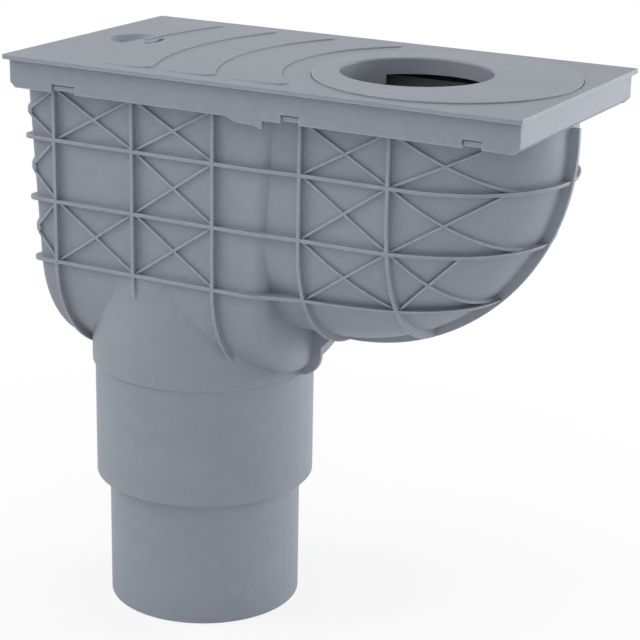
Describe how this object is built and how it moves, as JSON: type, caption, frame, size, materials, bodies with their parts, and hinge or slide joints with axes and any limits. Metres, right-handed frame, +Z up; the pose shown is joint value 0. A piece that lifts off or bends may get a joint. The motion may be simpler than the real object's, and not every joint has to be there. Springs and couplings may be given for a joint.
{
  "type": "rainwater gully",
  "caption": "Rainwater gully with a ribbed body, side bowl and stepped outlet spigot, lift-off lid, turning inlet disc, leaf basket and hinged odour flap.",
  "frame": {"origin": "on the outlet's axis, at the lower end of the small spigot", "axes": "+Z up along the outlet's axis, +X towards the bowl and the inlet, +Y to the back; the body is symmetric about the plane Y = 0"},
  "size_m": [0.3002, 0.155, 0.3208],
  "materials": {
    "gully_body": "satin, moulded",
    "lid": "satin, moulded",
    "inlet_disc": "satin, moulded",
    "trap_frame": "satin, moulded",
    "odour_flap": "satin, moulded",
    "leaf_basket": "satin, moulded"
  },
  "bodies": {
    "base": {"gully_body": "gully_body", "trap_frame": "trap_frame", "leaf_basket": "leaf_basket"},
    "cover": {"lid": "lid"},
    "disc": {"inlet_disc": "inlet_disc"},
    "flap": {"odour_flap": "odour_flap"}
  },
  "joints": [
    {"name": "lid_lift", "type": "slide", "parent": "base", "child": "cover", "axis": [0, 0, 1], "range_m": [0, 0.12]},
    {"name": "disc_turn", "type": "hinge", "parent": "cover", "child": "disc", "pos_m": [0.146, 0, 0.32], "axis": [0, 0, 1], "continuous": true},
    {"name": "flap_swing", "type": "hinge", "parent": "base", "child": "flap", "pos_m": [0.0722, 0, 0.27819], "axis": [0, 1, 0], "range_deg": [0, 70]}
  ]
}
